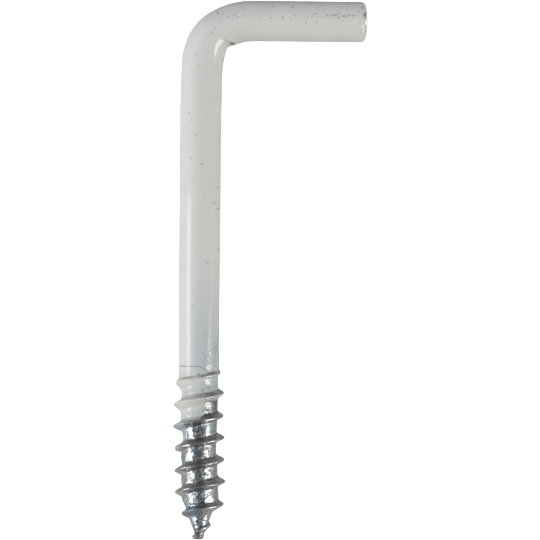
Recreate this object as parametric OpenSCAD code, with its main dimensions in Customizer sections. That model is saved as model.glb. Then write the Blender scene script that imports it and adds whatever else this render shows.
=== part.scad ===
// L-shaped screw hook: one length of round steel wire, bent square near one
// end to leave a short arm, with a coarse wood-screw thread and a blunt point
// rolled on the other end. White paint covers the arm, the bend, the shank and
// the first turns of the thread; the rest of the thread is bare zinc plate.
//
// The hook is stored lying down. +Y runs up the shank to the bend, +X runs out
// along the arm, and +Z is up. The arm and the first full ridge of the thread
// touch the surface at z = 0, so the shank leans by less than a degree.

/* [Wire] */
// Diameter of the wire, paint included
wire_d = 3.8; // [3:0.1:4.2]
// Overall length, from the back of the arm to the tip of the thread
overall_l = 50; // [44:0.5:70]
// Overall reach, from the back of the shank to the end of the arm
arm_reach = 17.3; // [13:0.1:30]
// Radius of the bend, on the wire's centre line
bend_r = 4.125; // [3:0.125:6]

/* [Arm end] */
// Radius of the rounded edge of the arm's end
end_edge_r = 0.5; // [0.1:0.05:0.9]
// How far the end face bulges in its middle
end_dome = 0.16; // [0.02:0.01:0.3]

/* [Thread] */
// Outer diameter of the thread
thread_d = 4.7; // [4.5:0.05:5.4]
// Diameter of the core between two ridges
core_d = 3.4; // [2.6:0.05:3.8]
// Distance from one ridge to the next
pitch = 2.05; // [1.6:0.05:2.6]
// Length of the threaded end, from the run-out to the tip
thread_l = 16; // [11:0.5:24]
// Direction in which the ridge starts, about the shank, from the arm's side
start_angle = -67; // [-180:1:180]
// Width of a ridge where it leaves the core
ridge_w = 1.1; // [0.6:0.05:1.3]
// Width of a ridge along its crest
crest_w = 0.14; // [0.06:0.02:0.3]

/* [Point] */
// Length of the cone, from the full core to the blunt tip
cone_l = 3.4; // [2:0.1:5]
// Diameter of the blunt tip
tip_d = 1.05; // [0.6:0.05:1.6]
// Length of the blunt tip
tip_l = 0.7; // [0.4:0.05:1.2]

/* [Hidden] */
$fn = 96;

paint = [0.86, 0.86, 0.84];
zinc = [0.66, 0.68, 0.70];

wire_r = wire_d / 2;
thread_r = thread_d / 2;
core_r = core_d / 2;
tip_r = tip_d / 2;

// The origin of these lengths is where the arm's and the shank's axes cross
arm_end = arm_reach - wire_r;
y_tip = wire_r - overall_l;
y_run = y_tip + thread_l;

// The wire narrows to the core over a little more than one turn
run_l = 1.15 * pitch;

// Lying at rest: the first full crest to face down, almost two turns along
// the ridge, comes down to the level of the arm
lean = asin((thread_r - wire_r) / (1.94 * pitch - y_run));

// Centre of the footprint, which becomes the origin
mid_x = (arm_end - thread_r) / 2;
mid_y = (wire_r + y_tip * cos(lean)) / 2;

// Points along the ridge for each turn
steps = 24;
turns = (thread_l - 0.45) / pitch;

function mix(a, b, t) = a + (b - a) * t;
function clamp(t) = max(0, min(1, t));

// Radius of the core at a distance d from the run-out, and e from the tip
function core_at(d, e) =
    e < tip_l ? tip_r
    : e < tip_l + cone_l ? mix(tip_r, core_r, (e - tip_l) / cone_l)
    : mix(wire_r, core_r, clamp(d / run_l));

// Radius of the crest: it climbs out of the wire, runs level, then follows
// the point down to the tip
function crest_at(d, e) = min(
    thread_r,
    wire_r - 0.05 + 0.2 * d,
    e < 1.4 ? mix(tip_r, 2.1 * tip_r, e / 1.4)
            : mix(2.1 * tip_r, thread_r, (e - 1.4) / 1.8));

// One section of the ridge, as [radius, height] about its crest: root, flank,
// crest, crest, flank, root. The root is sunk into the core, and the flank
// towards the tip is the longer and hollower one.
function ridge_section(rc, rr) =
    let (h = max(rc - rr, 0.01), w = ridge_w * mix(0.55, 1, clamp(h / 0.5)))
    [[rr - 0.15, 0.46 * w],
     [rr + 0.38 * h, 0.23 * w],
     [rr + h, crest_w / 2],
     [rr + h, -crest_w / 2],
     [rr + 0.38 * h, -0.26 * w],
     [rr - 0.15, -0.56 * w]];

// The ridge is sunk below the surface at its two ends
function ridge_ring(i, n) =
    let (t = turns * i / n,
         d = pitch * t,
         e = thread_l - d,
         a = start_angle + 360 * t,
         rr = core_at(d, e),
         fade = clamp((n - i) / (0.35 * steps)),
         rc = mix(rr - 0.08, crest_at(d, e), fade))
    [for (p = ridge_section(rc, rr))
        [p[0] * cos(a), y_run - d + p[1], p[0] * sin(a)]];

module ridge() {
    n = round(turns * steps);
    points = [for (i = [0:n]) each ridge_ring(i, n)];
    sides = [for (i = [0:n - 1], j = [0:5])
        let (a = 6 * i + j, b = 6 * i + (j + 1) % 6)
        each [[a, b, b + 6], [a, b + 6, a + 6]]];
    start_cap = [[5, 4, 1, 0], [4, 3, 2, 1]];
    end_cap = [for (f = [[0, 1, 4, 5], [1, 2, 3, 4]]) [for (k = f) 6 * n + k]];
    polyhedron(points, concat(sides, start_cap, end_cap));
}

// A solid of revolution about the shank, from [radius, y] points
module turn_on_shank(outline) {
    rotate([-90, 0, 0]) rotate_extrude() polygon(outline);
}

// A solid of revolution about the arm, from [radius, x] points
module turn_on_arm(outline) {
    rotate([0, 90, 0]) rotate_extrude() polygon(outline);
}

// Straight arm with a slightly bulging end and a rounded edge
module arm() {
    flat_r = wire_r - end_edge_r;
    bulge = [for (k = [0:3])
        [flat_r * k / 4, arm_end - end_dome * pow(k / 4, 2)]];
    edge = [for (a = [0:15:90])
        [flat_r + end_edge_r * sin(a),
         arm_end - end_dome - end_edge_r * (1 - cos(a))]];
    turn_on_arm(concat([[0, bend_r]], bulge, edge, [[wire_r, bend_r]]));
}

// A quarter turn of the same wire
module bend() {
    translate([bend_r, -bend_r, 0])
        rotate([0, 0, 90]) rotate_extrude(angle = 90)
            translate([bend_r, 0]) circle(r = wire_r);
}

module shank() {
    turn_on_shank([[0, -bend_r], [0, y_run], [wire_r, y_run], [wire_r, -bend_r]]);
}

// Core of the threaded end: taper from the wire, level core, cone, blunt tip
module core() {
    tip = [for (a = [90:-18:0])
        [tip_r * (0.35 + 0.65 * sin(a)), y_tip + 0.6 * tip_r * (1 - cos(a))]];
    turn_on_shank(concat(
        [[0, y_run], [wire_r, y_run],
         [core_r, y_run - run_l],
         [core_r, y_tip + tip_l + cone_l],
         [tip_r, y_tip + tip_l]],
        tip, [[0, y_tip]]));
}

module hook() {
    translate([-mid_x, -mid_y, wire_r]) rotate([-lean, 0, 0]) {
        color(paint) {
            arm();
            bend();
            shank();
        }
        color(zinc) {
            core();
            ridge();
        }
    }
}

hook();
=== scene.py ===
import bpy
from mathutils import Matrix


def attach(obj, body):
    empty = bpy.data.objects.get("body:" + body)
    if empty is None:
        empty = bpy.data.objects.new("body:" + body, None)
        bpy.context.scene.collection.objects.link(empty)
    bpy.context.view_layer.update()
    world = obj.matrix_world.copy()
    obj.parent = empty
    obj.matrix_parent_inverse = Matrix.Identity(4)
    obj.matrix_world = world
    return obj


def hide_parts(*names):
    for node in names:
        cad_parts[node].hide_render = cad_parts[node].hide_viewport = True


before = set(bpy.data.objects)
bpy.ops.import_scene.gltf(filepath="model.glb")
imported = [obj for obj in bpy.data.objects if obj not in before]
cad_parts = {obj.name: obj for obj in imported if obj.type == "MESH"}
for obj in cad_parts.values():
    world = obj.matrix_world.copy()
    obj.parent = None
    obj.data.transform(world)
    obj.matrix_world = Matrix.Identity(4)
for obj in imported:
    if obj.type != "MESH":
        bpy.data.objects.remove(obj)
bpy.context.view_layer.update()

import math

import bmesh
import bpy
import numpy as np
from mathutils import Matrix, Vector

scene = bpy.context.scene
MM = 0.001

# ---------------------------------------------------------------------------
# Sizes of the hook, in millimetres, as in the CAD. In the hook's own frame the
# arm's axis runs along +X, the shank's along -Y, and they cross at the origin.
# Angles round the wire are measured from the inner side of the bend (+X on the
# shank), through +Z, which faces up as the hook lies.
# ---------------------------------------------------------------------------
WIRE_R = 1.9
BEND_R = 4.125
ARM_END = 15.4
Y_TIP = -48.08
Y_RUN = -32.1
THREAD_R = 2.35
PITCH = 2.05
LEAN = math.asin(0.45 / (1.94 * PITCH - Y_RUN))
MID_X = (ARM_END - THREAD_R) / 2
MID_Y = (WIRE_R + -48.1 * math.cos(LEAN)) / 2


def to_row(p):
    """Points in the hook's own frame, in mm, to the row frame, in metres."""
    p = np.asarray(p, float)
    c, s = math.cos(-LEAN), math.sin(-LEAN)
    x, y, z = p[..., 0], p[..., 1], p[..., 2]
    return MM * np.stack(
        [x - MID_X, y * c - z * s - MID_Y, y * s + z * c + WIRE_R], -1
    )


# ---------------------------------------------------------------------------
# Camera: straight down on the hook as it lies, turned by half a degree
# ---------------------------------------------------------------------------
cam_data = bpy.data.cameras.new("camera")
cam = bpy.data.objects.new("camera", cam_data)
scene.collection.objects.link(cam)
scene.camera = cam
DIST = 0.5
VIEW_W = 540 / 10.786 * MM
cam_data.sensor_width = 36
cam_data.lens = 36 * DIST / VIEW_W
cam_data.clip_start, cam_data.clip_end = 0.01, 10
cam.location = (0.018 * MM, 0.041 * MM, DIST + 2.1 * MM)
cam.rotation_euler = (0, 0, math.radians(0.5))


# ---------------------------------------------------------------------------
# Small tools
# ---------------------------------------------------------------------------
def smooth(a, b, x):
    t = np.clip((x - a) / (b - a), 0, 1)
    return t * t * (3 - 2 * t)


def curve(x, pts):
    """A smooth line through a few given (x, value) points."""
    xs = np.array([p[0] for p in pts], float)
    ys = np.array([p[1] for p in pts], float)
    if xs[0] > xs[-1]:
        xs, ys = xs[::-1], ys[::-1]
    i = np.clip(np.searchsorted(xs, x) - 1, 0, len(xs) - 2)
    h = np.diff(xs)
    d = np.diff(ys) / h
    m = np.zeros(len(xs))
    m[0], m[-1] = d[0], d[-1]
    for k in range(1, len(xs) - 1):
        m[k] = 0 if d[k - 1] * d[k] <= 0 else 2 * d[k - 1] * d[k] / (d[k - 1] + d[k])
    t = np.clip((x - xs[i]) / h[i], 0, 1)
    h00, h10 = 2 * t**3 - 3 * t**2 + 1, t**3 - 2 * t**2 + t
    h01, h11 = -2 * t**3 + 3 * t**2, t**3 - t**2
    return h00 * ys[i] + h10 * h[i] * m[i] + h01 * ys[i + 1] + h11 * h[i] * m[i + 1]


def value_noise(p, cell, seed):
    """Smooth value noise in three dimensions, -1 to 1, the same on every run."""
    q = np.asarray(p, float) / cell
    i = np.floor(q).astype(np.int64)
    f = q - i
    f = f * f * f * (f * (f * 6 - 15) + 10)

    def lattice(a, b, c):
        h = (a * 374761393 + b * 668265263 + c * 2147483647 + seed * 974711) & 0xFFFFFFFF
        h = ((h ^ (h >> 13)) * 1274126177) & 0xFFFFFFFF
        h = h ^ (h >> 16)
        return (h & 0xFFFF) / 32767.5 - 1

    out = 0
    for dx in (0, 1):
        for dy in (0, 1):
            for dz in (0, 1):
                w = (
                    (f[..., 0] if dx else 1 - f[..., 0])
                    * (f[..., 1] if dy else 1 - f[..., 1])
                    * (f[..., 2] if dz else 1 - f[..., 2])
                )
                out = out + w * lattice(i[..., 0] + dx, i[..., 1] + dy, i[..., 2] + dz)
    return out


# ---------------------------------------------------------------------------
# The threaded end. A turn number T grows by one for each turn of the ridge
# from the lip where it starts, at T = 0 on the arm's side. Each row gives T,
# the crest's place along the shank, its distance from the shank's line, the
# widths of its flanks towards the bend and towards the tip, and how square
# each flank is. The ridge is cold-rolled, so no two half turns are alike.
# ---------------------------------------------------------------------------
RIDGE = [
    (-1.5, -29.70, 1.80, 0.25, 0.20, 2.0, 2.0),
    (-1.0, -30.65, 1.80, 0.25, 0.20, 2.0, 2.0),
    (-0.5, -31.60, 1.85, 0.25, 0.20, 2.0, 2.0),
    (0.0, -32.57, 2.047, 0.23, 0.21, 2.2, 4.0),
    (0.25, -33.10, 1.950, 0.20, 0.30, 2.0, 1.8),
    (0.5, -33.65, 2.085, 0.37, 0.40, 3.2, 1.6),
    (1.0, -34.475, 2.378, 0.25, 0.34, 1.9, 2.1),
    (1.5, -35.617, 2.306, 0.34, 0.41, 1.8, 1.6),
    (2.0, -36.545, 2.370, 0.21, 0.29, 1.7, 3.2),
    (2.5, -37.615, 2.306, 0.29, 0.30, 1.9, 2.4),
    (3.0, -38.609, 2.490, 0.26, 0.25, 2.1, 1.9),
    (3.5, -39.745, 2.138, 0.43, 0.12, 3.6, 3.8),
    (4.0, -40.668, 2.485, 0.28, 0.28, 2.3, 1.8),
    (4.5, -41.768, 2.150, 0.38, 0.20, 2.7, 1.9),
    (5.0, -42.660, 2.580, 0.28, 0.29, 1.8, 2.2),
    (5.5, -43.775, 2.108, 0.36, 0.19, 2.7, 1.8),
    (6.0, -44.745, 2.470, 0.21, 0.45, 1.7, 1.8),
    (6.5, -45.678, 1.470, 0.20, 0.27, 1.8, 2.9),
    (7.0, -46.740, 1.271, 0.21, 0.18, 2.4, 2.1),
    (7.5, -47.75, 0.60, 0.20, 0.20, 2.0, 2.0),
    (8.0, -48.80, 0.30, 0.20, 0.20, 2.0, 2.0),
]
# The core between the ridges, on the arm's side and on the far side: place
# along the shank and distance from the shank's line. It runs off centre.
CORE_NEAR = [
    (-31.0, 1.815), (-33.0, 1.80), (-35.5, 1.82), (-37.6, 1.766), (-39.6, 1.705), (-41.6, 1.838),
    (-43.7, 1.935), (-44.3, 1.97), (-45.2, 1.50), (-46.0, 1.245), (-46.4, 1.092), (-47.0, 0.98),
    (-47.4, 0.75), (-47.6, 0.66), (-47.9, 0.60), (-48.0, 0.53), (-48.06, 0.40),
]
CORE_FAR = [
    (-31.0, 1.60), (-34.5, 1.525), (-36.6, 1.576), (-38.0, 1.505), (-38.7, 1.372), (-39.2, 1.487),
    (-40.5, 1.563), (-41.2, 1.465), (-42.6, 1.53), (-43.2, 1.443), (-44.2, 1.461), (-44.7, 1.307),
    (-45.3, 1.034), (-46.2, 0.757), (-46.7, 0.549), (-47.3, 0.297), (-47.5, 0.16), (-47.7, 0.42),
    (-47.88, 0.45), (-48.0, 0.35), (-48.06, 0.20),
]
# The plain wire's radius, and how far its centre wanders off the straight line
WIRE = [
    (-48.2, 1.86), (-33.2, 1.865), (-32.25, 1.868), (-31.95, 1.885), (-31.0, 1.873), (-29.0, 1.872),
    (-27.0, 1.88), (-24.0, 1.895), (-20.0, 1.91), (-14.0, 1.912), (-10.0, 1.925), (-7.5, 1.93),
    (-5.5, 1.91), (-4.5, 1.92), (-3.0, 1.93),
]
WANDER = [(-48.0, 0.036), (-32.0, 0.036), (-29.5, 0.026), (-26.0, 0.004), (-20.0, 0.0), (-9.0, 0.0)]


def ridge_line(turn, column):
    return curve(turn, [(row[0], row[column]) for row in RIDGE])


def thread_surface(theta, y):
    """Distance from the shank's line to the surface, all round the rolled end,
    and how high on the ridge and how deep in the groove each point is."""
    theta, y = np.broadcast_arrays(theta, y)
    part = np.mod(theta / (2 * math.pi), 1.0)
    near, far = curve(y, CORE_NEAR), curve(y, CORE_FAR)
    core = (near + far) / 2 + (near - far) / 2 * np.cos(theta)
    wire = curve(y, WIRE) + curve(y, WANDER) * np.cos(theta)
    # the groove comes in below the ridge's first half turn
    groove = np.zeros_like(y)
    for k in range(-2, 9):
        turn = part + k
        below = smooth(0.22, -0.22, y - ridge_line(turn, 1))
        groove = groove * (1 - below) + smooth(-0.35, 0.15, turn) * below
    core = wire * (1 - groove) + core * groove
    # the step that the rolling die leaves on the wire, round the far side
    deg = np.degrees(theta)
    step_y = curve(
        np.mod(deg + 40, 360) - 40,
        [(-40, -32.7), (40, -32.62), (68, -32.36), (82, -32.12), (94, -32.06), (150, -32.05),
         (180, -32.10), (230, -32.2), (270, -32.4), (320, -32.7)],
    )
    on_step = smooth(60, 95, deg) * (1 - smooth(250, 300, deg))
    core = core - 0.022 * on_step * smooth(step_y + 0.02, step_y - 0.05, y) * (1 - groove)
    core = core - 0.030 * on_step * np.exp(-(((y - step_y) / 0.055) ** 2)) * (1 - groove)
    raised = np.zeros_like(y)
    flank = np.zeros_like(y)
    for k in range(-1, 8):
        turn = part + k
        crest, radius, up, down, p_up, p_down = (ridge_line(turn, c) for c in range(1, 7))
        radius = radius - 0.05 * smooth(0.2, -1.0, np.sin(theta))
        front = smooth(0.25, 0.0, np.abs(np.abs(part - 0.5) - 0.25))
        up, down = up * (1 - 0.12 * front), down * (1 - 0.12 * front)
        fade = smooth(-0.55, -0.1, turn) * (1 - smooth(7.2, 7.45, turn))
        d = y - crest
        height = np.maximum(radius - core, 0) * fade
        away = np.sqrt(d * d + 0.02**2) - 0.02
        shape = np.where(d > 0, np.exp(-((away / up) ** p_up)), np.exp(-((away / down) ** p_down)))
        higher = height * shape > raised
        raised = np.where(higher, height * shape, raised)
        flank = np.where(higher, np.where(d > 0, 1.0, -1.0) * smooth(0, 0.3, height), flank)
    return core + raised, raised, flank, groove


# ---------------------------------------------------------------------------
# Vertices and faces of one closed skin: rings over the tip, a strip that winds
# along the ridge so that mesh lines follow its crest, then rings over the
# shank, the bend and the arm
# ---------------------------------------------------------------------------
SEG = 168
T0, T1 = -1.25, 5.75
columns = np.arange(SEG) * 2 * math.pi / SEG + 1.5 * math.pi  # from the underside

near_crest = list(np.arange(0.0, 0.121, 0.0155))
fractions = near_crest + [0.138, 0.158, 0.182, 0.212, 0.25] + list(np.linspace(0.29, 0.71, 11))
fractions += [1 - f for f in reversed(near_crest[1:] + [0.138, 0.158, 0.182, 0.212, 0.25])]
fractions = np.array(fractions)
ROWS = len(fractions)

ring_theta, ring_y = [], []  # one entry for each vertex
vert_ids = {}
faces = []


def add(theta, y):
    ring_theta.append(theta)
    ring_y.append(y)
    return len(ring_y) - 1


# the strip: vertex (g, k) is g steps round and k rows below the crest line;
# row ROWS is the crest line one turn on
G = int(round((T1 - T0) * SEG))
strip = np.full((G + SEG + 1, ROWS), -1, dtype=int)
g_all = np.arange(G + SEG + 1)
line_y = ridge_line(T0 + g_all / SEG, 1)
next_y = ridge_line(T0 + 1 + g_all / SEG, 1)
for g in range(G + 1):
    for k in range(ROWS):
        strip[g, k] = add(columns[g % SEG], line_y[g] + (next_y[g] - line_y[g]) * fractions[k])
for g in range(G + 1, G + SEG + 1):
    strip[g, 0] = add(columns[g % SEG], line_y[g])


def strip_vertex(g, k):
    return int(strip[g + SEG, 0] if k == ROWS else strip[g, k])


for g in range(G):
    for k in range(ROWS):
        faces.append(
            (strip_vertex(g, k), strip_vertex(g, k + 1), strip_vertex(g + 1, k + 1), strip_vertex(g + 1, k))
        )

# above the strip: flat rows that start where the crest line passes them
starts = [int(round(SEG * f)) for f in fractions] + [SEG]
upper = {}
for k in range(ROWS):
    a, b = ring_y[strip_vertex(starts[k], 0)], ring_y[strip_vertex(0, k)]
    for j in range(starts[k] + 1, SEG):
        upper[k, j] = add(columns[j], a + (b - a) * (j - starts[k]) / (SEG - starts[k]))


def upper_vertex(k, j):
    if j == SEG:
        return strip_vertex(0, k)
    return strip_vertex(j, 0) if j == starts[k] else upper[k, j]


for j in range(SEG):
    last = max(k for k in range(ROWS) if starts[k] <= j)
    for k in range(last):
        faces.append((upper_vertex(k, j), upper_vertex(k + 1, j), upper_vertex(k + 1, j + 1), upper_vertex(k, j + 1)))
    corner = [upper_vertex(last, j), strip_vertex(j, 0), strip_vertex(j + 1, 0), upper_vertex(last, j + 1)]
    faces.append(tuple(dict.fromkeys(corner)))

# below the strip: flat rows that end where the crest line passes them
ends = starts
lower = {}
for k in range(1, ROWS):
    a, b = ring_y[strip_vertex(G, k)], ring_y[strip_vertex(G + ends[k], 0)]
    for j in range(1, ends[k]):
        lower[k, j] = add(columns[j], a + (b - a) * j / ends[k])
for j in range(1, SEG):
    lower[ROWS, j] = add(columns[j], ring_y[strip_vertex(G, ROWS)])


def lower_vertex(k, j):
    if j == 0 or (k == ROWS and j == SEG):
        return strip_vertex(G, k)
    return strip_vertex(G + j, 0) if k < ROWS and j == ends[k] else lower[k, j]


for j in range(SEG):
    first = min(k for k in range(ROWS + 1) if ends[k] >= j + 1)
    for k in range(first, ROWS):
        faces.append((lower_vertex(k, j), lower_vertex(k + 1, j), lower_vertex(k + 1, j + 1), lower_vertex(k, j + 1)))
    corner = [strip_vertex(G + j, 0), lower_vertex(first, j), lower_vertex(first, j + 1), strip_vertex(G + j + 1, 0)]
    faces.append(tuple(dict.fromkeys(corner)))


def ring_at(y):
    return [add(c, y) for c in columns]


def join(upper_ring, lower_ring):
    for j in range(SEG):
        n = (j + 1) % SEG
        faces.append((upper_ring[j], lower_ring[j], lower_ring[n], upper_ring[n]))


# down to the tip
y_low = ring_y[strip_vertex(G, ROWS)]
previous = [lower_vertex(ROWS, j) for j in range(SEG)]
for y in np.concatenate([np.arange(y_low - 0.036, -47.86, -0.036), [-47.9, -47.935, -47.965, -47.99, -48.01, -48.027, -48.042, -48.053, -48.06]]):
    ring = ring_at(float(y))
    join(previous, ring)
    previous = ring
tip_ring = previous

# up the shank as far as the bend
y_high = ring_y[strip_vertex(0, 0)]
previous = [upper_vertex(0, j) for j in range(SEG)]
shank_ys = y_high + (-BEND_R - y_high) * (np.linspace(0, 1, 91)[1:] ** 0.92)
for y in shank_ys:
    ring = ring_at(float(y))
    join(ring, previous)
    previous = ring
n_shank = len(ring_y)

theta = np.array(ring_theta)
y = np.array(ring_y)
radius, raised, flank, groove = thread_surface(theta, y)
centre = np.stack([np.zeros_like(y), y, np.zeros_like(y)], -1)
inward = np.tile([1.0, 0.0, 0.0], (len(y), 1))
along = y - Y_TIP

# the bend and the arm. Near the bend the wire leaves the straight line early,
# and on the inner side it is pinched into a faint crease.
SHIFT = [  # angle in the bend, or past it in mm x 10: how far the wire runs inside the arc
    (-40, 0.0), (-32, 0.018), (-17, 0.045), (-6, 0.075), (0, 0.100), (8, 0.112), (16, 0.092), (27, 0.050),
    (38, 0.015), (45, 0.015), (51, 0.045), (59, 0.085), (70, 0.098), (78, 0.085), (85, 0.050),
    (93, 0.0), (100, -0.018), (120, -0.024), (145, -0.015), (170, -0.005), (200, 0.0),
]
PINCH = [(2, 0.0), (12, 0.035), (22, 0.038), (31, -0.01), (38, -0.075), (43, -0.125), (46, -0.150),
         (49, -0.125), (54, -0.07), (61, -0.015), (72, 0.01), (84, 0.015), (90, 0.0)]

bend_path = []
for b in np.linspace(0, 90, 67)[1:]:
    a = math.radians(b)
    bend_path.append(
        (b, (BEND_R - BEND_R * math.cos(a), -BEND_R + BEND_R * math.sin(a)), (math.cos(a), -math.sin(a)), BEND_R * a)
    )
arm_path = [
    (90 + 10 * (x - BEND_R), (x, 0.0), (0.0, -1.0), BEND_R * math.pi / 2 + x - BEND_R)
    for x in np.linspace(BEND_R, ARM_END - 0.66, 44)[1:]
]

more_centre, more_inward, more_along, more_radius, more_theta = [], [], [], [], []
for b, c, n, s in bend_path + arm_path:
    ring = []
    for t in columns:
        ring.append(len(y) + len(more_theta))
        more_theta.append(t)
        more_centre.append((c[0], c[1], 0.0))
        more_inward.append((n[0], n[1], 0.0))
        more_along.append(-BEND_R - Y_TIP + s)
    join(ring, previous)
    previous = ring
    base = 1.93 - 0.03 * smooth(0, 60, b) - 0.012 * smooth(85, 100, b)
    inside = (0.5 + 0.5 * np.cos(columns)) ** 3
    more_radius.extend(
        base + curve(b, SHIFT) * np.cos(columns) + curve(b, PINCH) * inside * (2 <= b <= 90)
    )
theta = np.concatenate([theta, more_theta])
centre = np.concatenate([centre, more_centre])
inward = np.concatenate([inward, more_inward])
along = np.concatenate([along, more_along])
radius = np.concatenate([radius, more_radius])
n_all = len(theta)
raised = np.concatenate([raised, np.zeros(n_all - len(raised))])
flank = np.concatenate([flank, np.zeros(n_all - len(flank))])
groove = np.concatenate([groove, np.zeros(n_all - len(groove))])
# the same inward run just before the bend, on the shank
before = (centre[:, 1] < -BEND_R + 1e-9) & (centre[:, 1] > -BEND_R - 4.0) & (centre[:, 0] == 0)
radius[before] += curve(10 * (centre[before, 1] + BEND_R), SHIFT) * np.cos(theta[before])

pts = centre + radius[:, None] * (
    np.cos(theta)[:, None] * inward + np.sin(theta)[:, None] * np.array([0.0, 0.0, 1.0])
)

# the end of the arm: sheared off, with a rounded edge and a slightly bulging face
EDGE, DOME = 0.5, 0.16
end_rings, end_theta, end_pts = [], [], []


def end_ring(x, r):
    ring = []
    for t in columns:
        # the shear left the edge a little proud towards the outside of the arm
        deg = math.degrees(t) % 360
        proud = 0.030 * math.exp(-(((deg - 148) / 26) ** 2)) - 0.035 * math.exp(-(((deg - 112) / 14) ** 2))
        proud -= 0.022 * math.exp(-(((deg - 62) / 22) ** 2))
        w = math.exp(-(((r - 1.35) / 0.45) ** 2))
        ring.append(n_all + len(end_pts))
        end_pts.append((x + proud * w, -r * math.cos(t), r * math.sin(t)))
        end_theta.append(t)
    return ring


r_arm = 1.93 - 0.03 - 0.012
for a in np.linspace(0, 90, 11)[1:]:
    a = math.radians(a)
    ring = end_ring(ARM_END - DOME - EDGE + EDGE * math.sin(a), r_arm - EDGE + EDGE * math.cos(a))
    join(ring, previous)
    previous = ring
for f in np.linspace(1, 0, 12)[1:-1]:
    ring = end_ring(ARM_END - DOME * f * f, (r_arm - EDGE) * f)
    join(ring, previous)
    previous = ring
end_ring_last = previous

pts = np.concatenate([pts, end_pts, [[0.09, -48.075, 0.0]], [[ARM_END, 0.0, 0.0]]])
tip_v, end_v = len(pts) - 2, len(pts) - 1
for j in range(SEG):
    n = (j + 1) % SEG
    faces.append((tip_v, tip_ring[n], tip_ring[j]))
    faces.append((end_v, end_ring_last[j], end_ring_last[n]))
theta = np.concatenate([theta, end_theta, [0.0, 0.0]])
along = np.concatenate([along, np.full(len(end_theta), along[-1]) + 0.6, [0.0, along[-1] + 0.7]])
pad = len(theta) - n_all
raised, flank, groove = (np.concatenate([v, np.zeros(pad)]) for v in (raised, flank, groove))

# ---------------------------------------------------------------------------
# What the finish needs to know about each point
# ---------------------------------------------------------------------------
hook_y = np.where(np.arange(len(theta)) < n_shank, along + Y_TIP, 0.0)
deg = np.mod(np.degrees(theta), 360)
on_thread = np.arange(len(theta)) < n_shank
on_thread[tip_v] = True
line = [(row[1], row[0]) for row in RIDGE]
turn_at = curve(np.where(on_thread, hook_y, -20.0), line)
phase = np.mod(turn_at - theta / (2 * math.pi), 1.0)  # 0 on the crest, then on towards the tip

# how far each point is above the lower edge of the paint, in mm
EDGE_OF_PAINT = [  # angle round the wire, place along the shank
    (-45, -36.6), (0, -35.25), (52, -35.2), (63, -35.3), (67, -35.7), (70, -36.4), (75, -36.75), (92, -36.95),
    (110, -37.15), (122, -37.35), (130, -37.75), (136, -38.6), (142, -39.35), (160, -39.6), (182, -39.6),
    (225, -39.0), (270, -38.0), (315, -36.6), (360, -35.25),
]
above_edge = np.where(on_thread, hook_y - curve(deg, EDGE_OF_PAINT), 20.0)
# how thin the paint is: 0 is the full coat, 1 almost none
near_side = np.cos(theta)
thin = 0.42 * smooth(-27.0, -31.5, hook_y) * smooth(0.0, 0.55, near_side) * on_thread
low_turns = smooth(-31.9, -33.4, hook_y) * on_thread
thin = thin * (1 - low_turns) + low_turns * (
    0.06 + 0.16 * smooth(0.28, 0.62, phase) * smooth(1.02, 0.86, phase) + 0.34 * smooth(0.0, 0.5, near_side)
)
thin = np.where(on_thread, thin, 0.0)
film = smooth(-37.0, -37.8, hook_y) * on_thread
thin = thin * (1 - film) + 0.42 * film
# the coat turns bluish down the front of the shank before it is seen to be thin
cool = smooth(-20.5, -31.0, hook_y) * smooth(-0.62, -0.05, near_side) * on_thread
cool = cool * (1 - low_turns) + low_turns * (0.35 + 0.35 * smooth(-0.3, 0.6, near_side))
cool = np.maximum(cool, 0.9 * film) * on_thread

# The bare zinc is knocked about: shallow dents and creases, in the surface itself
mm = to_row(pts) / MM
bare = smooth(0.15, -0.25, above_edge)
dents = (
    0.013 * value_noise(mm * [1, 1.25, 1], 0.62, 3)
    + 0.010 * (1 - 2 * np.abs(value_noise(mm * [1, 1.15, 1], 0.40, 11)))
    + 0.006 * value_noise(mm, 0.21, 29)
)
coat = 0.018 * smooth(-0.06, 0.10, above_edge) * on_thread * (hook_y < -33.5)
# paint pooled along both sides of each painted groove leaves a shallow trough
trough_y = PITCH * (phase - 0.40)
trough = 0.45 * np.minimum(np.abs(trough_y), 0.5) ** 2 - 0.01
trough *= smooth(0.04, 0.20, phase) * smooth(0.94, 0.70, phase)
trough *= smooth(-32.9, -33.4, hook_y) * smooth(0.0, 0.25, above_edge) * on_thread
trough *= smooth(-0.93, -0.72, near_side) * smooth(0.93, 0.72, near_side)
ripple = 0.006 * value_noise(mm * [1, 0.8, 1], 0.9, 5) * smooth(-30.5, -33.5, hook_y) * on_thread
ripple += 0.0035 * value_noise(mm, 0.33, 17) * smooth(0.15, 0.5, thin)
nicks = -0.03 * smooth(0.72, 0.95, np.abs(value_noise(mm, 0.35, 41))) * smooth(0.3, 0.5, np.where(on_thread, raised, 0))
fade_tip = smooth(0.25, 0.9, along)
push = (dents * bare * (1 - 0.55 * smooth(0.12, 0.4, raised)) + (ripple + trough) * (1 - bare) + (coat - 0.009) * on_thread * (hook_y < -33.5) + nicks) * fade_tip
out_dir = np.zeros_like(pts)
out_dir[:, 0], out_dir[:, 2] = np.cos(theta), np.sin(theta)
pts = pts + np.where(on_thread, push, 0.0)[:, None] * out_dir

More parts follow.
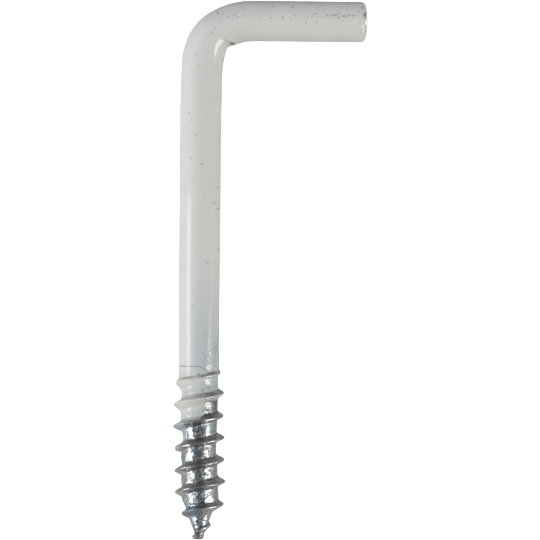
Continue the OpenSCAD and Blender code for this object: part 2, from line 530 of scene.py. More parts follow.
# ---------------------------------------------------------------------------
# The mesh
# ---------------------------------------------------------------------------
co = to_row(pts)
co[:, 2] = np.maximum(co[:, 2], 0.0)
mesh = bpy.data.meshes.new("hook_wire")
mesh.from_pydata([tuple(v) for v in co], [], [f[::-1] for f in faces])
mesh.update()
mesh.polygons.foreach_set("use_smooth", [True] * len(mesh.polygons))
for name, values in (
    ("above_edge", above_edge), ("thin", thin), ("cool", cool), ("phase_up", np.cos(2 * math.pi * phase)),
    ("phase_side", np.sin(2 * math.pi * phase)), ("raised", raised), ("flank", flank),
    ("near", near_side), ("front", np.sin(theta)), ("along", along),
):
    layer = mesh.attributes.new(name, "FLOAT", "POINT")
    layer.data.foreach_set("value", np.asarray(values, np.float32))

# one chart for the thread, one for the rest, side by side
column = np.zeros(len(theta), int)
step = 2 * math.pi / SEG
column[:-2] = np.mod(np.rint((theta[:-2] - columns[0]) / step).astype(int), SEG)
SPLIT = 17.0
uv = mesh.uv_layers.new(name="OFBake")
loop_v = np.zeros(len(mesh.loops), dtype=np.int32)
mesh.loops.foreach_get("vertex_index", loop_v)
starts_l = np.zeros(len(mesh.polygons), dtype=np.int32)
mesh.polygons.foreach_get("loop_start", starts_l)
face_of = np.searchsorted(starts_l, np.arange(len(loop_v)), side="right") - 1
is_pole = loop_v >= len(theta) - 2
cols = column[loop_v].astype(float)
lo = np.full(len(starts_l), 1e9)
hi = np.full(len(starts_l), -1e9)
np.minimum.at(lo, face_of[~is_pole], cols[~is_pole])
np.maximum.at(hi, face_of[~is_pole], cols[~is_pole])
wraps = (hi - lo) > SEG / 2
cols = np.where(wraps[face_of] & (cols < SEG / 2), cols + SEG, cols)
mid = np.where(wraps, SEG - 0.5, (lo + hi) / 2)
cols = np.where(is_pole, mid[face_of], cols)
top_along = along.max()
face_along = np.zeros(len(starts_l))
np.add.at(face_along, face_of, along[loop_v])
face_along /= np.bincount(face_of)
on_low = face_along[face_of] < SPLIT
u = 0.01 + 0.47 * cols / SEG
v = 0.01 + 0.98 * along[loop_v] / (SPLIT + 0.2)
u = np.where(on_low, u, u + 0.51)
v = np.where(on_low, v, 0.01 + 0.98 * (along[loop_v] - SPLIT + 0.3) / (top_along - SPLIT + 0.3))
uv.data.foreach_set("uv", np.stack([u, np.clip(v, 0.002, 0.998)], -1).astype(np.float32).ravel())

hook = bpy.data.objects.new("hook_wire", mesh)
scene.collection.objects.link(hook)

# ---------------------------------------------------------------------------
# Specks in the paint, as places on the top of the hook in its own frame (mm):
# x, y, radius, strength
# ---------------------------------------------------------------------------
SPECKS = [
    (10.55, 0.63, 0.075, 0.9), (11.18, 0.64, 0.07, 0.8), (10.92, 0.43, 0.058, 0.6),
    (11.61, 0.59, 0.058, 0.7), (11.79, 0.48, 0.052, 0.6), (12.09, 0.53, 0.075, 0.9),
    (12.39, 0.52, 0.075, 0.9), (12.84, 0.66, 0.07, 0.4), (13.32, 0.52, 0.058, 0.4),
    (13.69, 0.5, 0.075, 0.9), (14.06, 0.49, 0.075, 0.9), (14.54, 0.9, 0.075, 0.45),
    (14.93, 1.38, 0.081, 0.9), (8.74, 0.43, 0.058, 0.7), (7.55, 0.25, 0.075, 0.8),
    (6.44, 0.2, 0.064, 0.7), (6.54, 1.38, 0.093, 0.6), (8.47, 1.25, 0.087, 0.65),
    (4.82, 0.51, 0.07, 0.35), (9.66, -0.18, 0.075, 0.8), (10.63, -0.13, 0.07, 0.7),
    (9.81, 0.42, 0.07, 0.45), (9.29, 0.08, 0.052, 0.35), (5.93, -0.8, 0.052, 0.35),
    (4.59, -0.63, 0.052, 0.3), (10.29, 0.67, 0.052, 0.4), (9.91, 1.15, 0.058, 0.4),
    (10.72, 1.57, 0.064, 0.5), (11.36, -1.1, 0.052, 0.3), (8.07, 0.33, 0.046, 0.35),
    (13.05, -0.8, 0.046, 0.25), (2.5, 0.24, 0.081, 0.9), (0.47, 0, 0.075, 0.5),
    (1.46, 0.01, 0.058, 0.45), (1.72, 0.04, 0.052, 0.4), (3.11, 0.56, 0.07, 0.6),
    (3.4, 0.3, 0.07, 0.55), (2.92, 0.08, 0.064, 0.4), (3.83, 0.25, 0.064, 0.4),
    (1.23, -0.81, 0.081, 0.45), (1.02, -1.16, 0.081, 0.5), (-0.48, -3.22, 0.087, 0.45),
    (4.86, 0.52, 0.052, 0.3), (0.53, -0.74, 0.058, 0.25), (-0.54, -4.54, 0.07, 0.25),
    (-0.23, -4.28, 0.07, 0.25), (-0.54, -5.54, 0.058, 0.25), (-0.98, -8.71, 0.075, 0.55),
    (-0.87, -9.23, 0.081, 0.3), (0.79, -6.42, 0.058, 0.25), (0.48, -7.32, 0.058, 0.2),
    (-0.78, -10.31, 0.07, 0.3), (-0.46, -10.62, 0.07, 0.5), (-0.32, -10.76, 0.064, 0.5),
    (-0.66, -11.73, 0.07, 0.3), (-0.84, -12.81, 0.07, 0.55), (0.17, -13.33, 0.07, 0.7),
    (-1.17, -13.95, 0.058, 0.3), (-0.71, -14.96, 0.07, 0.7), (1.62, -15.46, 0.07, 0.8),
    (0.49, -16.43, 0.075, 0.55), (1.28, -16.93, 0.151, 0.3), (1.68, -17.45, 0.087, 0.9),
    (0.64, -18.65, 0.058, 0.25), (1.76, -21.2, 0.075, 0.8), (0.79, -22.56, 0.07, 0.65),
    (0.24, -21.93, 0.052, 0.2), (-0.51, -26.44, 0.093, 0.4), (1.2, -27.89, 0.064, 0.5),
    (1.24, -28.13, 0.07, 0.45), (1.76, -29.31, 0.075, 0.6), (0.08, -32.79, 0.093, 0.9),
    (0.81, -32.91, 0.099, 0.95), (-0.56, -33.04, 0.087, 0.45), (0.55, -32.84, 0.064, 0.4),
]


def on_top(x, y):
    """The point of the hook's top surface over (x, y), in the row frame, in mm."""
    if x >= BEND_R:
        off = y
    elif y <= -BEND_R:
        off = x
    else:
        off = BEND_R - math.hypot(x - BEND_R, y + BEND_R)
    z = math.sqrt(max(WIRE_R**2 - off**2, 0.02))
    return to_row([x, y, z]) / MM


# ---------------------------------------------------------------------------
# Node tools
# ---------------------------------------------------------------------------
class Graph:
    def __init__(self, tree):
        self.tree = tree

    def put(self, socket, value):
        if value is None:
            return
        if isinstance(value, bpy.types.NodeSocket):
            self.tree.links.new(value, socket)
        else:
            socket.default_value = value

    def new(self, kind, **props):
        n = self.tree.nodes.new(kind)
        for k, v in props.items():
            setattr(n, k, v)
        return n

    def math(self, op, a, b=None, c=None, clamp=False):
        n = self.new("ShaderNodeMath", operation=op, use_clamp=clamp)
        for s, v in zip(n.inputs, (a, b, c)):
            self.put(s, v)
        return n.outputs[0]

    def add(self, a, b):
        return self.math("ADD", a, b)

    def sub(self, a, b):
        return self.math("SUBTRACT", a, b)

    def mul(self, a, b):
        return self.math("MULTIPLY", a, b)

    def vec(self, op, a, b=None, scale=None):
        n = self.new("ShaderNodeVectorMath", operation=op)
        self.put(n.inputs[0], a)
        if b is not None:
            self.put(n.inputs[1], b)
        if scale is not None:
            self.put(n.inputs[3], scale)
        return n.outputs[1] if op in ("LENGTH", "DISTANCE", "DOT_PRODUCT") else n.outputs[0]

    def range(self, x, a, b, c=0.0, d=1.0, kind="SMOOTHSTEP"):
        n = self.new("ShaderNodeMapRange", interpolation_type=kind)
        for s, v in zip(n.inputs, (x, a, b, c, d)):
            self.put(s, v)
        return n.outputs[0]

    def mix(self, f, a, b, blend="MIX"):
        n = self.new("ShaderNodeMix", data_type="RGBA", blend_type=blend)
        self.put(n.inputs[0], f)
        for s, v in ((n.inputs[6], a), (n.inputs[7], b)):
            if isinstance(v, tuple) and len(v) == 3:
                v = (*v, 1.0)
            self.put(s, v)
        return n.outputs[2]

    def lerp(self, f, a, b):
        n = self.new("ShaderNodeMix", data_type="FLOAT")
        self.put(n.inputs[0], f)
        self.put(n.inputs[2], a)
        self.put(n.inputs[3], b)
        return n.outputs[0]

    def attr(self, name):
        return self.new("ShaderNodeAttribute", attribute_name=name).outputs["Fac"]

    def noise(self, vec, scale, detail=2.0, rough=0.5, warp=0.0, colour=False):
        n = self.new("ShaderNodeTexNoise")
        self.put(n.inputs["Vector"], vec)
        for k, v in (("Scale", scale), ("Detail", detail), ("Roughness", rough), ("Distortion", warp)):
            n.inputs[k].default_value = v
        return n.outputs["Color" if colour else "Fac"]

    def cells(self, vec, scale, feature="F1", out="Distance", random=1.0, smoothness=None):
        n = self.new("ShaderNodeTexVoronoi", feature=feature)
        self.put(n.inputs["Vector"], vec)
        n.inputs["Scale"].default_value = scale
        n.inputs["Randomness"].default_value = random
        if smoothness is not None:
            n.inputs["Smoothness"].default_value = smoothness
        return n.outputs[out]

    def bump(self, height, strength, distance, normal=None):
        n = self.new("ShaderNodeBump")
        n.inputs["Strength"].default_value = strength
        n.inputs["Distance"].default_value = distance
        self.put(n.inputs["Height"], height)
        self.put(n.inputs["Normal"], normal)
        return n.outputs[0]


# ---------------------------------------------------------------------------
# White paint over bright zinc, one material for the one piece of wire
# ---------------------------------------------------------------------------
mat = bpy.data.materials.new("painted_wire")
mat.use_nodes = True
tree = mat.node_tree
tree.nodes.clear()
g = Graph(tree)
bsdf = g.new("ShaderNodeBsdfPrincipled")
out = g.new("ShaderNodeOutputMaterial")
tree.links.new(bsdf.outputs[0], out.inputs[0])

obj = g.new("ShaderNodeTexCoord").outputs["Object"]
pos = g.vec("SCALE", obj, scale=1000.0)  # mm in the row frame
above = g.attr("above_edge")
thin_a = g.attr("thin")
cool_a = g.attr("cool")
p_up, p_side = g.attr("phase_up"), g.attr("phase_side")
high = g.attr("raised")
side = g.attr("flank")
near = g.attr("near")
front = g.attr("front")
run = g.attr("along")

# the edge of the paint, ragged at two scales
ragged = g.sub(g.noise(pos, 1.3, 2.0, 0.5), 0.5)
fine = g.sub(g.noise(pos, 5.0, 3.0, 0.6), 0.5)
edge = g.add(above, g.add(g.mul(ragged, 1.1), g.mul(fine, 0.6)))
painted = g.range(edge, -0.03, 0.05)

# specks: small ragged marks, with grime strung between them along the arm
warp_a = g.vec("SUBTRACT", g.noise(pos, 4.0, 1.0, 0.5, colour=True), (0.5, 0.5, 0.5))
warp_b = g.vec("SUBTRACT", g.noise(pos, 13.0, 1.0, 0.5, colour=True), (0.5, 0.5, 0.5))
spot_pos = g.vec("ADD", pos, g.vec("ADD", g.vec("SCALE", warp_a, scale=0.16), g.vec("SCALE", warp_b, scale=0.22)))
flat_pos = g.vec("MULTIPLY", spot_pos, (0.85, 1.0, 0.3))
specks_and_crease_shade = None
for sx, sy, sr, sd in SPECKS:
    c = tuple(float(v) for v in on_top(sx, sy) * [0.85, 1, 0.3])
    f = g.range(g.vec("DISTANCE", flat_pos, c), sr * 1.65, sr * 0.15, 0.0, min(1.0, sd * 0.9))
    specks_and_crease_shade = f if specks_and_crease_shade is None else g.math("MAXIMUM", specks_and_crease_shade, f)
sep = g.new("ShaderNodeSeparateXYZ")
g.put(sep.inputs[0], pos)
arm_x = g.add(sep.outputs[0], MID_X)
arm_y = g.add(sep.outputs[1], MID_Y)
band = g.mul(g.range(arm_y, 0.16, 0.40), g.range(arm_y, 0.80, 0.56))
band = g.mul(band, g.add(g.mul(g.range(arm_x, 9.6, 10.6), 0.8), g.mul(g.mul(g.range(arm_x, 1.0, 2.0), g.range(arm_x, 5.0, 3.8)), 0.5)))
dot = g.cells(spot_pos, 4.2)
clump = g.noise(pos, 1.7, 2.0, 0.6)
strung = g.mul(g.mul(g.range(dot, 0.55, 0.22), g.range(clump, 0.38, 0.52)), band)
wide = g.mul(g.range(arm_y, -0.6, 0.5), g.range(arm_x, 2.0, 4.0))
faint = g.mul(g.mul(g.range(dot, 0.40, 0.15), g.range(clump, 0.52, 0.62)), wide)
specks_and_crease_shade = g.math("MAXIMUM", specks_and_crease_shade, g.mul(strung, 0.88))
specks_and_crease_shade = g.math("MAXIMUM", specks_and_crease_shade, g.mul(faint, 0.42))
# a patch of fine grit on the outer side of the shank, below the bend
grit_y = g.mul(g.range(arm_y, -17.5, -14.5), g.range(arm_y, -6.0, -10.0))
grit_on = g.mul(grit_y, g.mul(g.range(near, -0.85, -0.68), g.range(near, -0.38, -0.5)))
specks_and_crease_shade = g.math("MAXIMUM", specks_and_crease_shade, g.mul(g.mul(g.range(g.noise(g.vec("MULTIPLY", pos, (1.0, 0.6, 1.0)), 6.5, 2.0, 0.6), 0.56, 0.68), grit_on), 0.22))
specks_and_crease_shade = g.mul(specks_and_crease_shade, g.range(front, -0.2, 0.1))
# a scatter of fine ones over the rest, fewer on top
cell_d = g.cells(spot_pos, 1.1)
cell_r = g.cells(spot_pos, 1.1, out="Color")
rare = g.new("ShaderNodeSeparateColor")
g.put(rare.inputs[0], cell_r)
few = g.range(rare.outputs[0], 0.88, 0.95)
scatter = g.mul(g.mul(g.range(cell_d, 0.085, 0.02), few), 0.5)
scatter = g.mul(scatter, g.range(front, 0.4, -0.1, 0.35, 1.0))
specks_and_crease_shade = g.math("MAXIMUM", specks_and_crease_shade, scatter)
specks_and_crease_shade = g.mul(specks_and_crease_shade, g.range(run, 14.3, 15.3))


def mark(x, y, rx, ry, turn, strength, soft=0.4, deep=0.25):
    """An elongated mark on the top of the hook, in mm."""
    c = on_top(x, y)
    q = g.vec("SUBTRACT", spot_pos, tuple(float(v) for v in c))
    n = g.new("ShaderNodeVectorRotate", rotation_type="Z_AXIS")
    g.put(n.inputs["Vector"], q)
    n.inputs["Angle"].default_value = -math.radians(turn)
    q = g.vec("MULTIPLY", n.outputs[0], (1 / rx, 1 / ry, deep / ry))
    return g.mul(g.range(g.vec("LENGTH", q), 1.0 + soft, 1.0 - soft), strength)


# the crease inside the bend darkened with painted shade, a dark speck on the arm, and dirt and a chip on the arm's end
crease_shade_and_speck = g.math("MAXIMUM", mark(2.86, -2.12, 0.36, 0.085, -17, 1.0, 0.35, 0.08), mark(1.48, 0.65, 0.055, 0.15, 8, 0.9))
crease_shade_and_speck = g.math("MAXIMUM", crease_shade_and_speck, mark(2.35, -1.90, 0.22, 0.05, -28, 0.35, 0.6, 0.06))
grime = g.math("MAXIMUM", mark(15.13, 0.57, 0.22, 0.17, 80, 0.9, 0.4, 0.22), mark(14.95, 1.25, 0.10, 0.20, 0, 0.35, 0.6, 0.25))
grime = g.math("MAXIMUM", grime, mark(15.24, 0.80, 0.07, 0.50, 0, 0.6, 0.4, 0.6))
grime = g.math("MAXIMUM", grime, mark(15.29, -0.9, 0.06, 0.45, 0, 0.55, 0.4, 0.5))
specks_and_crease_shade = g.math("MAXIMUM", specks_and_crease_shade, g.math("MAXIMUM", crease_shade_and_speck, grime))
chip = mark(15.20, -0.20, 0.11, 0.30, 0, 1.0, 0.25, 0.5)
# dirt caught along the lip where the ridge starts
lip = g.math("MAXIMUM", mark(1.25, -32.66, 0.80, 0.15, 14, 1.0, 0.5), mark(0.40, -32.90, 0.60, 0.12, 8, 0.75, 0.6))
lip = g.math("MAXIMUM", lip, mark(-0.95, -33.10, 0.80, 0.12, 12, 0.6, 0.6))
lip = g.mul(lip, g.range(g.noise(pos, 4.0, 2.0, 0.5), 0.3, 0.5, 0.55, 1.0))
specks_and_crease_shade = g.math("MAXIMUM", specks_and_crease_shade, g.mul(lip, 0.9))
# the line left by the rolling die: a shallow groove, its dark colour painted shade
hook_y = g.add(run, Y_TIP)
die_y = g.sub(-32.045, g.range(near, -0.05, 0.75, 0.0, 0.57))
die_groove_and_shade = g.range(g.math("ABSOLUTE", g.sub(hook_y, die_y)), 0.075, 0.02)
die_groove_and_shade = g.mul(g.mul(die_groove_and_shade, g.range(near, 0.62, 0.35)), g.range(g.noise(pos, 3.0, 2.0, 0.5), 0.3, 0.5, 0.35, 0.8))
# painted shade on the bend-facing flank of each painted turn, close to the crest and stronger to the right, and a
# painted shade line at the foot of that flank
crest_near = g.range(high, 0.01, 0.14)
upper_flank_shade = g.mul(g.mul(crest_near, g.range(side, 0.1, 0.6)), g.range(g.noise(pos, 2.2, 3.0, 0.6), 0.34, 0.58, 0.6, 1.0))
upper_flank_shade = g.mul(upper_flank_shade, g.range(near, -0.5, 0.5, 0.22, 0.9))
root_shade_line = g.mul(g.mul(g.range(high, 0.015, 0.05), g.range(high, 0.14, 0.07)), g.range(side, 0.1, 0.6))

# paint colour: a cool white-grey coat, slightly uneven, yellower where it pooled
cloud = g.noise(pos, 0.55, 3.0, 0.55)
paint_c = g.mix(g.range(cloud, 0.3, 0.7), (0.700, 0.694, 0.688), (0.722, 0.716, 0.714))
mottle = g.noise(pos, 3.2, 3.0, 0.6)
paint_c = g.mix(g.range(mottle, 0.56, 0.80, 0.0, 0.30), paint_c, (0.62, 0.615, 0.605))
powder = g.noise(pos, 5.5, 3.0, 0.7)
paint_c = g.mix(g.range(powder, 0.54, 0.74, 0.0, 0.30), paint_c, (0.56, 0.555, 0.55))
low = g.range(run, 15.2, 14.4)
pooled = g.mul(low, g.range(g.add(p_up, g.mul(p_side, 0.8)), 0.5, 1.2))
paint_c = g.mix(g.mul(pooled, 0.6), paint_c, (0.725, 0.695, 0.655))
# where the coat is thin the zinc shows through it, bluish and part mirror
cool = g.mul(cool_a, g.range(mottle, 0.3, 0.7, 1.1, 0.85))
cool = g.mul(cool, g.sub(1.0, g.mul(pooled, 0.85)))
paint_c = g.mix(g.math("MULTIPLY", cool, 1.0, clamp=True), paint_c, (0.565, 0.605, 0.640))
grain = g.noise(g.vec("MULTIPLY", pos, (1.0, 0.75, 1.0)), 3.4, 3.0, 0.6)
thin = g.math("MULTIPLY", thin_a, g.range(grain, 0.36, 0.64, 0.2, 1.7), clamp=True)
paint_c = g.mix(g.mul(thin, 0.85), paint_c, (0.34, 0.385, 0.41))
film = g.mul(g.range(hook_y, -36.7, -37.3), g.range(near, 0.2, -0.1))
paint_c = g.mix(g.mul(film, g.range(grain, 0.3, 0.62, 0.45, 0.95)), paint_c, (0.36, 0.42, 0.43))
dirt_and_shade_c = g.mix(g.noise(pos, 5.0, 2.0, 0.5), (0.11, 0.115, 0.12), (0.22, 0.215, 0.20))
# dirt colour for the specks, which is also the painted shade in the bend's crease
paint_c = g.mix(specks_and_crease_shade, paint_c, dirt_and_shade_c)
# painted shade along the die line
paint_c = g.mix(g.mul(die_groove_and_shade, 0.8), paint_c, (0.13, 0.14, 0.145))
# painted shade on the bend-facing flanks near the crest and at their roots
paint_c = g.mix(g.mul(upper_flank_shade, 0.92), paint_c, (0.10, 0.105, 0.105))
paint_c = g.mix(g.mul(root_shade_line, 0.28), paint_c, (0.25, 0.26, 0.27))
paint_c = g.mix(chip, paint_c, (0.80, 0.82, 0.88))

# zinc: bright plate with faint tints and brown dirt on the ridges; painted shade darkens the right side, the
# bend-facing flanks and the roots
tint = g.noise(g.vec("MULTIPLY", pos, (1.0, 0.7, 1.0)), 2.3, 2.0, 0.5, 0.4)
tint2 = g.noise(g.vec("ADD", pos, (31.0, 7.0, 3.0)), 2.6, 2.0, 0.5, 0.4)
soot = g.noise(pos, 3.1, 4.0, 0.68)
# painted shade: the plate darker towards the right side, away from the key light
zinc_c = g.mix(g.range(near, -0.35, 0.35), (0.54, 0.565, 0.58), (0.395, 0.415, 0.43))
zinc_c = g.mix(g.range(tint, 0.48, 0.64), zinc_c, (0.33, 0.43, 0.52))
zinc_c = g.mix(g.range(tint2, 0.55, 0.68, 0.0, 0.8), zinc_c, (0.66, 0.52, 0.53))
zinc_c = g.mix(g.range(tint2, 0.45, 0.32, 0.0, 0.8), zinc_c, (0.58, 0.53, 0.33))
zinc_c = g.mix(g.range(g.noise(pos, 4.0, 2.0, 0.55), 0.50, 0.66, 0.0, 0.45), zinc_c, (0.22, 0.235, 0.255))
# small tarnish marks, thickest along the front
marks = g.noise(pos, 4.6, 3.0, 0.65, 0.3)
by_side = g.mul(g.range(near, -0.62, -0.22), g.range(near, 0.55, 0.1))
flecks = g.mul(g.range(marks, 0.49, 0.56), g.lerp(by_side, 0.24, 0.66))
flecks = g.mul(flecks, g.range(high, 0.12, 0.0))
fleck_c = g.mix(g.range(tint2, 0.44, 0.56), (0.13, 0.13, 0.095), (0.085, 0.115, 0.17))
zinc_c = g.mix(flecks, zinc_c, fleck_c)
zinc_c = g.mix(g.mul(g.range(marks, 0.43, 0.37), g.mul(by_side, 0.55)), zinc_c, (0.66, 0.70, 0.66))
fresh = g.range(hook_y, -36.9, -36.4)
stain = g.mul(g.range(soot, 0.52, 0.67), g.range(high, 0.0, 0.25, 0.85, 0.3))
stain = g.mul(g.mul(stain, g.lerp(by_side, 0.65, 1.0)), g.sub(1.0, g.mul(fresh, 0.8)))
zinc_c = g.mix(g.mul(fresh, 0.9), zinc_c, g.mix(g.range(g.noise(pos, 4.6, 2.0, 0.6), 0.42, 0.58), (0.28, 0.285, 0.23), (0.13, 0.15, 0.18)))
zinc_c = g.mix(stain, zinc_c, (0.145, 0.165, 0.19))
zinc_c = g.mix(g.mul(g.range(soot, 0.44, 0.36), 0.5), zinc_c, (0.24, 0.22, 0.17))
on_ridge = g.range(high, 0.06, 0.24)
upper = g.mul(on_ridge, g.range(side, -0.1, 0.6))
under = g.mul(on_ridge, g.range(side, 0.1, -0.6))
crest = g.range(high, 0.50, 0.58)
hue = g.noise(pos, 1.5, 2.0, 0.5)
# the bend-facing flanks: painted shade, greyer or browner with dirt, with a reddish tint
flank_shade_and_tint = g.mix(g.range(soot, 0.38, 0.66), (0.195, 0.193, 0.21), (0.50, 0.48, 0.47))
flank_shade_and_tint = g.mix(g.range(hue, 0.47, 0.62, 0.0, 0.65), flank_shade_and_tint, (0.28, 0.18, 0.16))
# painted reflection of the dark gap overhead: navy along the middle of the ridges
gap_reflection = g.mul(g.range(near, -0.55, -0.25), g.range(near, 0.35, 0.1))
flank_shade_and_tint = g.mix(g.mul(gap_reflection, 0.75), flank_shade_and_tint, (0.15, 0.165, 0.205))
zinc_c = g.mix(g.mul(upper, 0.95), zinc_c, flank_shade_and_tint)
rust = g.mul(under, g.range(high, 0.45, 0.10))
zinc_c = g.mix(g.mul(rust, g.range(hue, 0.36, 0.56, 0.55, 1.0)), zinc_c, (0.62, 0.46, 0.35))
zinc_c = g.mix(g.mul(under, g.range(soot, 0.48, 0.64, 0.0, 0.7)), zinc_c, (0.15, 0.14, 0.14))
slate = g.math("MAXIMUM", mark(-0.62, -45.62, 1.15, 0.40, 8, 0.9, 0.3, 0.0), mark(-1.3, -37.75, 0.6, 0.22, 10, 0.5, 0.5, 0.1))
slate = g.math("MAXIMUM", slate, mark(-1.15, -37.2, 0.7, 0.22, 10, 0.9, 0.4, 0.0))
zinc_c = g.mix(slate, zinc_c, (0.25, 0.285, 0.325))
# painted shade line at the root of each ridge's bend-facing flank
zinc_c = g.mix(g.mul(root_shade_line, 0.8), zinc_c, (0.075, 0.07, 0.075))
tip_end = g.range(run, 0.66, 0.40)
zinc_c = g.mix(g.mul(tip_end, 0.9), zinc_c, (0.20, 0.20, 0.21))

base = g.mix(painted, zinc_c, paint_c)
g.put(bsdf.inputs["Base Color"], base)
metal_in_paint = g.math("MULTIPLY", g.math("MAXIMUM", g.range(thin, 0.12, 0.8, 0.0, 0.18), g.mul(film, 0.10)), g.sub(1.0, specks_and_crease_shade), clamp=True)
metal_in_paint = g.math("MAXIMUM", metal_in_paint, chip)
metallic = g.lerp(painted, g.lerp(upper, 1.0, 0.78), metal_in_paint)
g.put(bsdf.inputs["Metallic"], metallic)
zinc_r = g.lerp(upper, g.range(soot, 0.4, 0.7, 0.25, 0.36), 0.36)
zinc_r = g.lerp(g.math("MAXIMUM", tip_end, slate), zinc_r, 0.62)
paint_r = g.add(g.range(cloud, 0.3, 0.7, 0.055, 0.085), g.mul(specks_and_crease_shade, 0.3))
paint_r = g.add(g.add(paint_r, g.mul(thin, 0.32)), g.mul(film, 0.40))
g.put(bsdf.inputs["Roughness"], g.lerp(painted, zinc_r, paint_r))
bsdf.inputs["IOR"].default_value = 1.5

# relief: orange peel and grit in the paint, sharp little facets in the zinc
peel = g.noise(pos, 1.6, 2.0, 0.4)
grit = g.noise(pos, 4.5, 3.0, 0.6)
h_paint = g.add(g.mul(peel, 0.004), g.mul(g.mul(grit, thin), 0.016))
h_paint = g.sub(h_paint, g.mul(g.mul(g.range(cell_d, 0.085, 0.02), few), 0.010))
h_paint = g.sub(h_paint, g.mul(die_groove_and_shade, 0.012))
facet_pos = g.vec("ADD", pos, g.vec("SCALE", g.noise(pos, 3.5, 2.0, 0.5, colour=True), scale=0.22))
facet_pos = g.vec("MULTIPLY", facet_pos, (1.0, 1.15, 1.0))
facet = g.cells(facet_pos, 2.9)
swirl = g.noise(g.vec("MULTIPLY", pos, (1.0, 1.4, 1.0)), 3.4, 2.0, 0.5, 0.8)
h_zinc = g.add(g.mul(facet, 0.016), g.mul(swirl, 0.036))
h_zinc = g.mul(h_zinc, g.lerp(g.math("MAXIMUM", on_ridge, tip_end), 1.0, 0.38))
h = g.lerp(painted, h_zinc, h_paint)
h = g.add(h, g.mul(painted, 0.012))
cell_tilt = g.cells(facet_pos, 2.9, out="Color")
cell_tilt = g.vec("SUBTRACT", cell_tilt, (0.5, 0.5, 0.5))
tilt_by = g.mul(g.sub(1.0, painted), g.lerp(g.math("MAXIMUM", on_ridge, tip_end), 0.22, 0.10))
tilt = g.vec("SCALE", cell_tilt, scale=tilt_by)
shape_n = g.new("ShaderNodeNewGeometry").outputs["Normal"]
start_n = g.vec("NORMALIZE", g.vec("ADD", shape_n, tilt))
normal = g.bump(h, 1.0, 0.001, start_n)
g.put(bsdf.inputs["Normal"], normal)
mesh.materials.append(mat)

# ---------------------------------------------------------------------------
# Studio: a pale floor lit from all round, two soft boxes with a dark gap
# between them overhead, and a strip and a small box close to the hook
# ---------------------------------------------------------------------------
floor_mesh = bpy.data.meshes.new("floor")
F = 4.0
floor_mesh.from_pydata([(-F, -F, 0), (F, -F, 0), (F, F, 0), (-F, F, 0)], [], [(0, 1, 2, 3)])
floor = bpy.data.objects.new("floor", floor_mesh)
scene.collection.objects.link(floor)
floor_mat = bpy.data.materials.new("floor")
floor_mat.use_nodes = True
fg = Graph(floor_mat.node_tree)
fb = floor_mat.node_tree.nodes["Principled BSDF"]
fg_pos = fg.new("ShaderNodeTexCoord").outputs["Object"]
speck = fg.noise(fg_pos, 40.0, 3.0, 0.5)
fg_sep = fg.new("ShaderNodeSeparateXYZ")
fg.put(fg_sep.inputs[0], fg_pos)
fg_y = fg_sep.outputs[1]
fb.inputs["Roughness"].default_value = 0.95
fb.inputs["Specular IOR Level"].default_value = 0.0
# backlit: what the camera sees of it is whiter than the light it throws on the hook
fb.inputs["Emission Color"].default_value = (1.0, 1.0, 1.0, 1.0)
seen = fg.new("ShaderNodeLightPath").outputs["Is Camera Ray"]
near_hook = fg.range(fg_y, 0.020, 0.027, 0.12, 0.0)
pale = fg.mix(speck, (0.60, 0.60, 0.60), (0.62, 0.62, 0.62))
# painted shade on the floor behind the arm: darker there for all but camera rays
floor_shade_behind_arm = fg.mul(fg.range(fg_y, 0.024, 0.0265), fg.sub(1.0, seen))
fg.put(fb.inputs["Base Color"], fg.mix(floor_shade_behind_arm, pale, (0.30, 0.30, 0.30)))
fg.put(fb.inputs["Emission Strength"], fg.lerp(seen, near_hook, 1.0))
floor_mesh.materials.append(floor_mat)

world = bpy.data.worlds.new("studio")
scene.world = world
world.use_nodes = True
wg = Graph(world.node_tree)
back = world.node_tree.nodes["Background"]
d = wg.new("ShaderNodeSeparateXYZ")
wg.put(d.inputs[0], wg.new("ShaderNodeTexCoord").outputs["Generated"])
deg_per = 180 / math.pi
a_side = wg.mul(wg.math("ARCTAN2", d.outputs[0], d.outputs[2]), deg_per)  # 0 overhead, + to the right
a_up = wg.mul(wg.math("ARCSINE", d.outputs[1]), deg_per)  # + behind the arm


def box(a0, a1, b0, b1, colour, soft=4.0):
    """A soft-edged box of light between two side angles and two front angles."""
    f = None
    for x, lo, hi in ((a_side, a0, a1), (a_up, b0, b1)):
        if lo > -90:
            e = wg.range(x, lo - soft, lo + soft)
            f = e if f is None else wg.mul(f, e)
        if hi < 90:
            e = wg.range(x, hi + soft, hi - soft)
            f = e if f is None else wg.mul(f, e)
    return wg.vec("SCALE", colour, scale=f)


BOXES = [
    # left: one large box, falling off towards the ends
    (-90, -37, -90, 90, (0.20, 0.20, 0.19)),
    (-90, -37, -60, 60, (0.20, 0.20, 0.19)),
    (-90, -37, -36, 32, (0.32, 0.33, 0.34)),
    # the dark gap overhead
    (-37, 15, -90, -30, (0.12, 0.12, 0.11)),
    (-37, 23, -90, 90, (0.20, 0.21, 0.235)),
    (-37, 23, 62, 90, (0.13, 0.13, 0.13)),
    # right: a box with soft ends
    (19, 90, -90, 90, (0.19, 0.19, 0.18)),
    (21, 90, -60, 40, (0.12, 0.12, 0.11)),
    (25, 75, -36, 14, (0.26, 0.26, 0.24)),
    (25, 75, 14, 34, (0.18, 0.18, 0.17)),
    (29, 66, -36, 34, (0.08, 0.08, 0.08)),
    (75, 90, -36, 34, (0.66, 0.66, 0.64)),
]
light = None
for b in BOXES:
    one = box(*b)
    light = one if light is None else wg.vec("ADD", light, one)
below = wg.range(d.outputs[2], 0.0, -0.002)
light = wg.vec("SCALE", light, scale=wg.sub(1.0, below))
light = wg.vec("ADD", light, wg.vec("SCALE", (0.98, 0.98, 0.98), scale=below))
wg.put(back.inputs[0], light)
world.cycles.sampling_method = "MANUAL"
world.cycles.sample_map_resolution = 1024


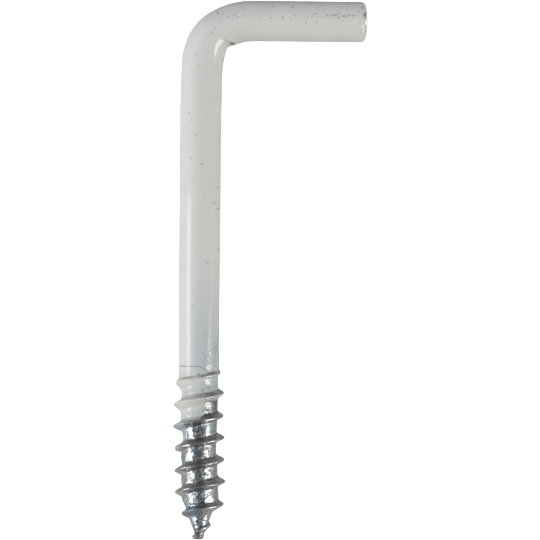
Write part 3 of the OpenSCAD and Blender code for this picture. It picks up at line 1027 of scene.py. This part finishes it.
def card(name, centre, size, look_at, colour, radiance, turn=0.0):
    """A flat light, in mm, that shows in reflections only."""
    data = bpy.data.lights.new(name, "AREA")
    data.shape = "RECTANGLE"
    data.size, data.size_y = size[0] * MM, size[1] * MM
    data.color = colour
    data.energy = radiance * math.pi * data.size * data.size_y
    ob = bpy.data.objects.new(name, data)
    scene.collection.objects.link(ob)
    c, t = Vector(centre) * MM, Vector(look_at) * MM
    ob.location = c
    ob.rotation_euler = ((t - c).to_track_quat("-Z", "Y").to_matrix().to_4x4() @ Matrix.Rotation(turn, 4, "Z")).to_euler()
    ob.visible_camera = False
    ob.visible_diffuse = False
    return ob


# the strip's far end shows halfway down the shank
card("strip", (-102.0, -36.0, 52.0), (92.0, 41.0), (-6.5, -36.0, 2.0), (0.88, 0.95, 1.0), 3.35)
# the lamp shows on the inside of the bend and, low down, along the thread
card("lamp", (154.0, -75.0, 89.0), (150.0, 92.0), (-6.0, 20.0, 2.0), (1.0, 1.0, 0.98), 6.0, 0.5)


# a brighter patch in the strip, beyond the tip: only the grooves turn towards it
card("strip_end", (-95.0, -62.0, 49.0), (44.0, 34.0), (-6.5, -36.0, 2.0), (0.90, 0.95, 1.0), 7.0)


# a small reflector lying beside the arm's end
card("reflector", (11.3, 23.2, 0.15), (3.4, 0.85), (11.3, 23.2, 50.0), (0.92, 0.94, 1.0), 1.2)


def soft_sun(name, side_deg, up_deg, colour, strength):
    """Broad light on the paint, from a side angle and a front angle."""
    data = bpy.data.lights.new(name, "SUN")
    data.angle = math.radians(24)
    data.color = colour
    data.energy = strength * math.pi
    ob = bpy.data.objects.new(name, data)
    scene.collection.objects.link(ob)
    a, b = math.radians(side_deg), math.radians(up_deg)
    towards = Vector((math.sin(a) * math.cos(b), math.sin(b), math.cos(a) * math.cos(b)))
    ob.rotation_euler = towards.to_track_quat("Z", "Y").to_euler()
    ob.visible_glossy = False
    return ob


soft_sun("fill_left", -80, 0, (0.92, 0.97, 1.0), 0.254)
soft_sun("key_left", -55, -15, (1.0, 0.99, 0.88), 0.146)
soft_sun("fill_right_low", 80, 0, (1.0, 0.97, 0.90), 0.180)
soft_sun("fill_front", 2, -58, (0.95, 1.0, 0.84), 0.090)
soft_sun("overhead", -6, 10, (0.99, 1.0, 0.95), 0.238)

scene.view_settings.view_transform = "Standard"

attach(hook, "root")
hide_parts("hook")
